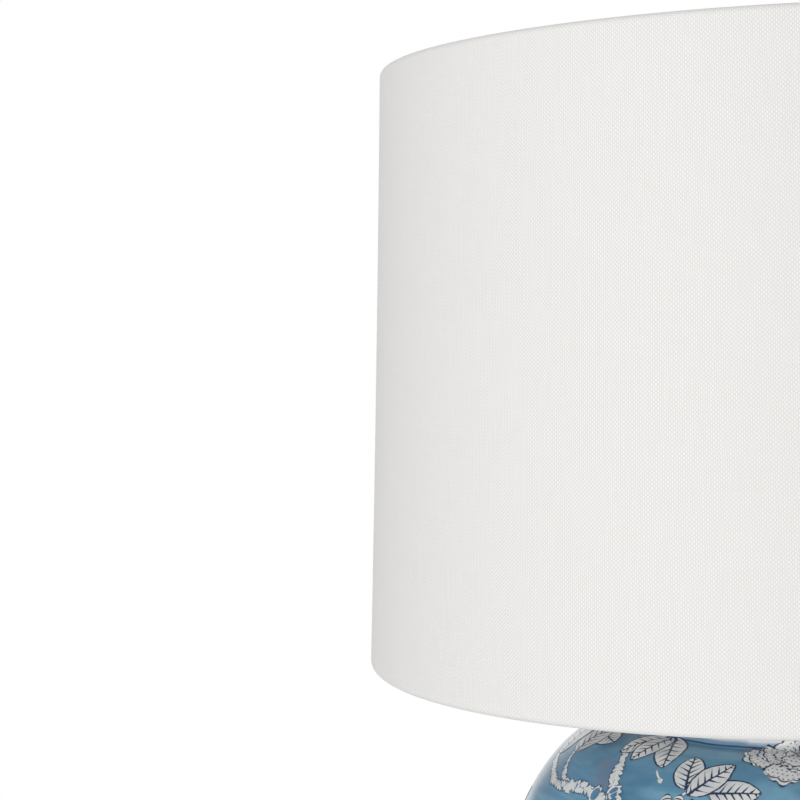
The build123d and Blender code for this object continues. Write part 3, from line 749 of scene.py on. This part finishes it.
# ---- Hardware, which keeps the frame's own shapes ----
def dress_hardware():
    neck_low = reach("bulb_glass")[0]
    aluminium, aluminium_deep = (0.86, 0.87, 0.88), (0.68, 0.69, 0.71)
    solder, solder_deep = (0.60, 0.60, 0.58), (0.38, 0.38, 0.37)
    finishes = (
        (metal_finish("turned_brass", BRASS, BRASS_DEEP, 0.27, 30.0, 0.008),
         "vase_cap check_ring neck_spacer holder_cap holder_shell finial harp_stud"),
        (metal_finish("drawn_brass", BRASS, BRASS_DEEP, 0.30),
         "harp harp_sleeve_left harp_sleeve_right harp_saddle centre_contact terminal_screws"),
        (metal_finish("zinc_plate", ZINC, ZINC_DEEP, 0.36), "bottom_washer lock_washer hex_nut"),
        (threaded("threaded_zinc", ZINC, ZINC_DEEP, 0.36, 0.94), "lamp_pipe"),
        (metal_finish("rolled_aluminium", aluminium, aluminium_deep, 0.24), "screw_shell bulb_base"),
        (metal_finish("dull_solder", solder, solder_deep, 0.48, grain=400.0), "bulb_contact"),
        (moulded_finish("white_powder_coat", (0.86, 0.86, 0.84), (0.78, 0.78, 0.76), 0.36, depth=0.03),
         "shade_top_ring shade_bottom_ring spider_arms spider_hub"),
        (moulded_finish("black_phenolic", (0.026, 0.024, 0.022), (0.014, 0.013, 0.012), 0.22, depth=0.01),
         "holder_body switch_spindle switch_knob"),
        (moulded_finish("black_nylon", (0.034, 0.034, 0.035), (0.018, 0.018, 0.019), 0.42), "cord_bush"),
        (moulded_finish("brown_fibre_board", (0.38, 0.26, 0.15), (0.24, 0.15, 0.08), 0.75, 420.0, 0.05),
         "holder_sleeve"),
        (moulded_finish("soft_rubber", (0.07, 0.07, 0.07), (0.045, 0.045, 0.045), 0.62), "neck_gasket"),
        (moulded_finish("black_glass", (0.02, 0.02, 0.026), (0.010, 0.010, 0.014), 0.08, depth=0.004),
         "bulb_insulator"),
        (frosted_finish(neck_low + 2.0, neck_low + 16.0), "bulb_glass"),
        (styrene_finish(), "shade_liner"),
        (felt_finish(), "felt_pad"),
    )
    for finish, nodes in finishes:
        for node in nodes.split():
            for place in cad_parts[node].material_slots:
                place.material = finish


# ---- Painting: flat art in millimetres, laid on the jar's side ----
# Each piece hangs from an anchor, (degrees to the right of the front, millimetres up the side).
LEAF_LIFT, BRANCH_LIFT, PETAL_LIFT = 0.16, 0.08, 0.30
LAYER_STEP = 0.03       # lift from one layer to the next
STAGGER = 0.002         # lift from one piece to the next in a layer, so that none lie in one plane
LIFTS = 12              # different lifts in a layer
FRONT_WINDOW = (-112.0, 8.0, 302.0)     # painted one by one: degrees from, degrees to, height from
TRUNK_HALF, LIMB_HALF, TWIG_HALF, TAIL_HALF = (3.6, 1.4), (2.4, 1.2), (1.7, 0.9), (0.35, 0.45)
TRUNK_STEP = 13.0
TRUNK_END = 12.0        # below the neck line

chance = random.Random(20)
patches = {"leaf": [], "petal": []}
branches = []
taken = []              # (anchor, radius) of what is painted already


def radius_at(height):
    """The jar's radius at a height up its side."""
    height = min(max(height, 0.0), NECK_LINE)
    after = bisect.bisect_left(SIDE_LENGTHS, height, 1)
    below, above = SIDE_LENGTHS[after - 1:after + 1]
    return SIDE[after - 1].lerp(SIDE[after], (height - below) / (above - below)).x


def flat_from(anchor, spot):
    """Where a spot on the jar lies in the flat art that hangs from an anchor."""
    turn = math.radians((spot[0] - anchor[0] + 180) % 360 - 180)
    return Vector((turn * radius_at(spot[1]), spot[1] - anchor[1]))


def spot_from(anchor, flat):
    height = anchor[1] + flat.y
    return anchor[0] + math.degrees(flat.x / radius_at(height)), height


def heading(turn):
    """A flat direction, turn degrees to the right of straight up."""
    return Vector((math.sin(math.radians(turn)), math.cos(math.radians(turn))))


def turn_of(flat):
    return math.degrees(math.atan2(flat.x, flat.y))


def lay(kind, anchor, turn, length, width, bend=0.0, layer=0, lobed=1.0):
    """Adds one leaf or petal that points turn degrees to the right of straight up."""
    lift = LEAF_LIFT if kind == "leaf" else PETAL_LIFT
    lift += LAYER_STEP * layer + STAGGER * (len(patches[kind]) % LIFTS)
    patches[kind].append({"angle": math.radians(anchor[0]), "height": anchor[1], "turn": math.radians(turn),
                          "length": length, "width": width, "bend": bend, "lift": lift, "lobed": lobed})


def lay_between(kind, base, tip, width, bend=0.0, layer=0):
    flat = flat_from(base, tip)
    lay(kind, base, turn_of(flat), flat.length, width, bend, layer)


def lay_branch(points, start_half, end_half):
    """Adds a branch through points on the jar, its half width going from start to end."""
    anchor = points[0]
    branches.append((anchor, [flat_from(anchor, point) for point in points], start_half, end_half))


RINGS = ((6, 1.0, 1.05), (5, 0.70, 0.92), (4, 0.45, 0.66), (2, 0.25, 0.40))     # petals, length, width


def lay_blossom(centre, size, turn=0.0, squash=0.0):
    """A many-petalled blossom; squash shortens the petals that point up, as if seen from below."""
    for ring, (count, length, width) in enumerate(RINGS):
        for index in range(count):
            way = turn + (index + 0.5 * ring) * 360 / count + chance.uniform(-9, 9)
            short = 1 - squash * max(0.0, math.cos(math.radians(way))) - chance.uniform(0, 0.12)
            lay("petal", centre, way, size * length * short, size * width,
                chance.uniform(-0.15, 0.15) * (1 + ring), layer=ring * 2 + index % 2)
    taken.append((centre, size))


def lay_cluster(base, turn, size):
    """Three leaves fanned out from a twig's end."""
    for index, (fan, share) in enumerate(((-48, 0.9), (46, 0.85), (0, 1.0))):
        way = turn + fan + chance.uniform(-10, 10)
        lay("leaf", base, way, size * share, size * chance.uniform(0.54, 0.64), chance.uniform(-0.18, 0.18),
            layer=index)
    taken.append((spot_from(base, heading(turn) * size * 0.5), size * 0.68))


def lay_bud(base, turn, size):
    """A closed bud held by two small leaves."""
    for fan in (-34, 34, 0):
        lay("petal", base, turn + fan * 0.4, size, size * 0.62, fan * 0.004, layer=1 if fan else 2, lobed=0.0)
    for fan in (-62, 62):
        lay("leaf", base, turn + fan, size * 0.8, size * 0.42, fan * -0.003, layer=2)
    taken.append((spot_from(base, heading(turn) * size * 0.5), size * 0.7))


def lay_drop(base, turn):
    """A small tailed drop, which fills a bare spot."""
    tip = spot_from(base, heading(turn) * 6.0)
    lay_branch([base, spot_from(base, heading(turn + 6) * 3.0), tip], *TAIL_HALF)
    lay("leaf", tip, turn, 3.0, 2.6, layer=1)
    taken.append((tip, 5.0))


def is_free(spot, radius):
    return all(flat_from(other, spot).length > radius + other_radius for other, other_radius in taken)


def paint_front():
    """What the photograph shows of the painting, below the shade on the left of the front."""
    trunk = [(-62, 12), (-57, 45), (-66, 80), (-60, 118), (-50, 150), (-53, 190), (-44, 225),
             (-47, 262), (-41, 298)]
    lay_branch(trunk, 4.2, 4.6)
    lay_branch([(-41, 298), (-43.5, 316), (-46, 323), (-47.5, 329), (-49, 335), (-51, 341),
                (-52, 344)], 5.2, 1.8)
    lay_branch([(-42.5, 308), (-46.5, 314.5), (-51, 316.5), (-56.5, 317), (-61.5, 315), (-65.5, 317.5),
                (-68.5, 321.5), (-71.5, 327.5), (-72.5, 333)], 4.6, 1.8)
    lay_branch([(-59, 315), (-65.5, 313.5), (-70.5, 314), (-76.5, 318.5), (-80.5, 321), (-82.5, 324.5),
                (-85, 333), (-87, 342)], 2.9, 2.2)
    lay_branch([(-43, 299.5), (-37, 306.5), (-31, 314), (-26, 325.5)], 1.6, 1.0)
    leaves = (((-73, 347), (-60.5, 344.5), 14, 0.0, 0), ((-71.5, 330), (-74, 353), 21, 0.05, 1),
              ((-80, 324), (-89, 347), 21, 0.1, 0),
              ((-46.5, 362), (-54.5, 341.5), 15, -0.1, 0), ((-43.5, 362), (-34, 338.5), 14.5, 0.1, 1),
              ((-45, 362), (-46, 337.5), 15, 0.05, 2), ((-26.5, 327), (-29.5, 347), 15, 0.05, 0),
              ((-21, 326.5), (-9, 330), 15, 0.08, 1), ((-25.5, 324.5), (-16.5, 343.5), 15, -0.06, 2))
    for base, tip, width, bend, layer in leaves:
        lay_between("leaf", base, tip, width, bend, layer)
    lay_bud((-27.5, 307), 4, 17.5)
    lay_drop((-36.5, 335), 135)
    lay_blossom((-1.5, 356), 23.5, 12, 0.75)
    taken.extend((((-26, 314), 14), ((-44, 351), 17), ((-26, 336), 15), ((-14, 331), 12), ((-66, 329), 15),
                  ((-80, 334), 13), ((-72, 318), 10), ((-45, 318), 9), ((-41, 346), 10)))
    return trunk[1:-1]


def in_window(spot):
    left, right, low = FRONT_WINDOW
    return left < (spot[0] + 180) % 360 - 180 < right and spot[1] > low


def wander(start, turn, steps, pull):
    """A branch's way up the jar, leaning back towards pull degrees and out of the front window."""
    points = [start]
    for _ in range(steps):
        turn += chance.uniform(-34, 34) + (pull - turn) * 0.25
        point = spot_from(points[-1], heading(turn) * TRUNK_STEP)
        if in_window(point) or point[1] > NECK_LINE - TRUNK_END:
            break
        points.append(point)
    return points


def paint_trunks():
    """Main branches from the foot up to the shoulder. Gives the points that twigs may leave."""
    forks = []
    for start, pull in ((2, 14), (62, -4), (118, 10), (176, -12), (236, 6)):
        trunk = wander((start, 12.0), chance.uniform(-30, 30), 25, pull)
        lay_branch(trunk, *TRUNK_HALF)
        forks += trunk[1:]
        for fork, side in ((5, -1), (9, 1), (14, -1), (19, 1)):
            limb = wander(trunk[min(fork, len(trunk) - 1)], side * 75, 5, side * 50)
            if len(limb) > 2:
                lay_branch(limb, *LIMB_HALF)
                forks += limb[1:]
    return forks


PLAN = ((60, 23.0, "blossom"), (900, 17.0, "cluster"), (500, 13.0, "cluster"), (500, 10.0, "cluster"),
        (300, 8.0, "bud"), (150, 6.0, "drop"))     # tries, room in millimetres, motif


def paint_round(forks):
    """The rest of the jar: each motif where there is room for it, on a twig."""
    forks += paint_trunks()
    for tries, room, kind in PLAN:
        for _ in range(tries):
            spot = (chance.uniform(-180, 180), chance.uniform(22 + room, NECK_LINE - 4 - room * 0.9))
            if is_free(spot, room) and not in_window((spot[0], spot[1] + room)):
                add_motif(spot, room, kind, forks)


def add_motif(spot, room, kind, forks):
    fork = min(forks, key=lambda point: flat_from(point, spot).length)
    turn = turn_of(flat_from(fork, spot)) + chance.uniform(-25, 25)
    if kind == "drop":
        lay_drop(spot, turn)
        return
    base = spot if kind == "blossom" else spot_from(spot, heading(turn) * -room * 0.75)
    bow = heading(turn + 90) * chance.uniform(-6, 6)
    middle = spot_from(fork, flat_from(fork, base) * 0.5 + bow)
    if not in_window(middle):
        lay_branch([fork, middle, base], *TWIG_HALF)
        forks.append(middle)
    if kind == "blossom":
        lay_blossom(spot, room * chance.uniform(0.95, 1.05), chance.uniform(0, 360), chance.uniform(0, 0.35))
    elif kind == "cluster":
        lay_cluster(base, turn, room * 1.45)
    else:
        lay_bud(base, turn, room * 1.5)


def line_mesh(name, verts, edges, rows=({},)):
    """A mesh of loose points or edges that carries a row of named numbers on each point."""
    mesh = bpy.data.meshes.new(name)
    mesh.from_pydata(verts, edges, [])
    for label in rows[0]:
        layer = mesh.attributes.new(label, "FLOAT", "POINT")
        layer.data.foreach_set("value", [row[label] for row in rows])
    return mesh


def jar_guide():
    """The jar's side as a line in the XZ plane, in millimetres, for laying art along."""
    points = SHOWN_SIDE + [Vector((NECK_R, RIM_Z - RIM_FILLET))]
    edges = [(i, i + 1) for i in range(len(points) - 1)]
    return placed("jar_guide", line_mesh("jar_guide", [(p.x, 0.0, p.y) for p in points], edges))


def wrapped(g, geometry, a, b, lift):
    """Lays geometry on the jar, a to the right of its anchor and b up the side."""
    guide = g.add("GeometryNodeObjectInfo")
    g.put(guide.inputs["Object"], g.input("Guide"))
    line = g.node("GeometryNodeMeshToCurve", {"Mesh": guide.outputs["Geometry"]})
    along = g.add("GeometryNodeSampleCurve", mode="LENGTH")
    g.put(along.inputs["Curves"], line)
    g.put(along.inputs["Length"], g.given("height") + b)
    radius, _, level = g.split(along.outputs["Position"])
    out, _, up = g.split(along.outputs["Tangent"])
    angle = g.given("angle") + a / radius
    far = radius + up * lift
    spot = g.join(g.sine(angle) * far * MM, g.cosine(angle) * far * -MM, (level - out * lift) * MM)
    return g.node("GeometryNodeSetPosition", {"Geometry": geometry, "Position": spot})


def make_patches(name, laid, finish, guide, **shape):
    """Leaves or petals: one grid per point, bent to its outline and laid on the jar."""
    g = Growth(name, Guide=guide, Finish=finish, **shape)
    grid = g.node("GeometryNodeMeshGrid", {"Size X": 2.0, "Size Y": 1.0, "Vertices X": g.input("Columns"),
                                           "Vertices Y": g.input("Rows")})
    x, y, _ = g.position()
    crowded = 0.5 + g.sine(y * math.pi) * 0.5
    marked = g.store(g.store(grid, "across", x), "along", crowded)
    spread = g.node("GeometryNodeInstanceOnPoints", {"Points": g.begin.outputs[0], "Instance": marked})
    real = g.node("GeometryNodeRealizeInstances", {"Geometry": spread})
    along, across, length = g.given("along"), g.given("across"), g.given("length")
    closing = (1.0 - along ** g.input("Tip start")) ** g.input("Tip")
    half = (along ** g.input("Root")) * (closing * (1.0 - g.input("Blunt")) + g.input("Blunt"))
    half = half * g.input("Fullness") * g.given("width") * 0.5
    lobes = abs(g.cosine(across * g.input("Lobes"))) * g.input("Lobe depth") * g.given("lobed")
    lobes = lobes - across * across * g.input("Arch")
    rise = along * length * (1.0 + lobes * along * along)
    side = across * half + g.given("bend") * along * along * length
    seed = g.given("lift") * 900.0
    wave = rise * g.input("Waves")
    side = side + (g.noise(g.join(wave, across * 0.8, seed)) - 0.5) * g.input("Wobble")
    rise = rise + (g.noise(g.join(wave, across * 0.8, seed + 30.0)) - 0.5) * g.input("Wobble")
    sine, cosine = g.sine(g.given("turn")), g.cosine(g.given("turn"))
    real = g.store(real, "half", half)
    laid_on = wrapped(g, real, side * cosine + rise * sine, rise * cosine - side * sine, g.given("lift"))
    return g.grow(name, line_mesh(name, [(0, 0, 0)] * len(laid), [], laid), laid_on)


def make_branches(name, finish, guide):
    """Branches: a ribbon along each line, of uneven width, laid on the jar."""
    g = Growth(name, Guide=guide, Finish=finish, Step=1.3, Knots=0.5)
    curve = g.node("GeometryNodeMeshToCurve", {"Mesh": g.begin.outputs[0]})
    curve = g.node("GeometryNodeCurveSplineType", {"Curve": curve}, spline_type="CATMULL_ROM")
    curve = g.node("GeometryNodeResampleCurve", {"Curve": curve, "Length": g.input("Step")}, mode="LENGTH")
    curve = g.node("GeometryNodeSetCurveNormal", {"Curve": curve}, mode="Z_UP")
    length = Field(g, g.add("GeometryNodeSplineParameter").outputs["Length"])
    curve = g.store(curve, "along", length)
    knots = g.noise(g.join(g.given("along") * 0.22, g.given("angle") * 9.0, g.given("height")), 1.0, 3.0, 0.6)
    curve = g.store(curve, "half", g.given("half") * (1.0 + (knots - 0.5) * g.input("Knots") * 4.0))
    bar = g.node("GeometryNodeCurvePrimitiveLine", {"Start": (-1.0, 0.0, 0.0), "End": (1.0, 0.0, 0.0)})
    bar = g.store(bar, "across", g.position()[0])
    swept = {"Curve": curve, "Profile Curve": bar, "Scale": g.given("half")}
    ribbon = g.node("GeometryNodeCurveToMesh", swept)
    x, y, _ = g.position()
    laid_on = wrapped(g, ribbon, x, y, g.given("lift"))
    verts, edges, rows = [], [], []
    for index, (anchor, points, start_half, end_half) in enumerate(branches):
        edges += [(len(verts) + i, len(verts) + i + 1) for i in range(len(points) - 1)]
        verts += [(*point, 0.0) for point in points]
        for share in (i / (len(points) - 1) for i in range(len(points))):
            rows.append({"angle": math.radians(anchor[0]), "height": anchor[1],
                         "half": start_half + (end_half - start_half) * share,
                         "lift": BRANCH_LIFT + 2 * STAGGER * (index % LIFTS)})
    return g.grow(name, line_mesh(name, verts, edges, rows), laid_on)


def make_painting():
    paint_round(paint_front())
    guide = jar_guide()
    leaves = make_patches("painted_leaves", patches["leaf"], leaf_finish(), guide, Columns=5, Rows=13,
                          Root=0.55, Tip=0.75, Fullness=1.95, Blunt=0.0, Arch=0.0, Lobes=0.0, Wobble=1.7,
                          Waves=0.22, **{"Tip start": 1.6, "Lobe depth": 0.0})
    petals = make_patches("painted_petals", patches["petal"], petal_finish(), guide, Columns=13, Rows=8,
                          Root=0.62, Tip=0.5, Fullness=1.05, Blunt=0.62, Arch=0.34, Lobes=1.5 * math.pi,
                          Wobble=0.7, Waves=0.12, **{"Tip start": 5.0, "Lobe depth": 0.09})
    stems = make_branches("painted_branches", branch_finish(), guide)
    for piece in (leaves, petals, stems):
        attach(piece, "base")
    bpy.data.objects.remove(guide)


# ---- Camera, light and floor ----
def make_camera():
    data = bpy.data.cameras.new("camera")
    data.sensor_width = SENSOR_MM
    data.lens = FOCAL_PX / IMAGE_PX * SENSOR_MM
    camera = placed("camera", data)
    aim = Matrix.Identity(4)
    for degrees, axis in ((CAMERA_YAW, "Z"), (CAMERA_PITCH, "X"), (CAMERA_ROLL, "Y"), (90, "X")):
        aim = aim @ Matrix.Rotation(math.radians(degrees), 4, axis)
    camera.matrix_world = Matrix.Translation((0, -CAMERA_AHEAD * MM, (SHADE_LOW + CAMERA_ABOVE) * MM)) @ aim
    bpy.context.scene.camera = camera


def make_light(name, spot, size, watts):
    data = bpy.data.lights.new(name, "AREA")
    data.shape = "RECTANGLE"
    data.size, data.size_y = size
    data.energy = watts
    light = placed(name, data)
    aim = Vector(LIGHT_AIM) - Vector(spot)
    light.matrix_world = Matrix.Translation(spot) @ aim.to_track_quat("-Z", "Y").to_matrix().to_4x4()


def make_world():
    """An even studio: soft white for light, plain white where it is seen, dimmer in mirrored sides."""
    world = bpy.data.worlds.new("studio")
    bpy.context.scene.world = world
    world.use_nodes = True
    w = Nodes(world.node_tree)
    path = w.add("ShaderNodeLightPath").outputs
    behind = w.split(w.add("ShaderNodeTexCoord").outputs["Generated"])[1]
    rest = 1.0 - WORLD_LEVEL
    mirrored = w.ramp(behind, 0.80, 0.94, SIDE_LEVEL - WORLD_LEVEL, rest) * path["Is Glossy Ray"]
    seen = w.most(path["Is Camera Ray"], path["Is Transmission Ray"]) * rest
    background = w.tree.nodes["Background"]
    background.inputs["Color"].default_value = (1.0, 1.0, 1.0, 1.0)
    w.put(background.inputs["Strength"], seen + mirrored + WORLD_LEVEL)


def floor_finish():
    """Pale floor that keeps the lamp's shadow near it and runs out to white."""
    f = Finish("pale_floor")
    x, y, _ = f.split(f.place())
    away = f.far(x, y)
    grain = f.cloud(220.0, 3.0)
    f.done(Base_Color=f.mix(grain, (0.88, 0.88, 0.875), (0.91, 0.91, 0.905)), Roughness=0.75,
           Specular_IOR_Level=0.2)
    path = f.add("ShaderNodeLightPath").outputs
    seen = f.most(path["Is Camera Ray"], path["Is Glossy Ray"])
    blend = f.add("ShaderNodeMixShader")
    f.put(blend.inputs[0], f.ramp(away, 0.25, 0.95, 0.45, 1.0) * seen)
    f.put(blend.inputs[1], f.surface.outputs[0])
    f.put(blend.inputs[2], f.add("ShaderNodeEmission").outputs[0])
    f.put(f.tree.nodes["Material Output"].inputs["Surface"], blend.outputs[0])
    return f.material


def make_floor():
    bpy.ops.mesh.primitive_circle_add(vertices=96, radius=FLOOR_R, fill_type="NGON")
    floor = bpy.context.object
    floor.name = "studio_floor"
    floor.data.materials.append(floor_finish())


make_linen()
make_jar()
dress_hardware()
make_painting()
make_camera()
make_world()
for light in LIGHTS:
    make_light(*light)
make_floor()
bpy.context.scene.view_settings.view_transform = "Standard"
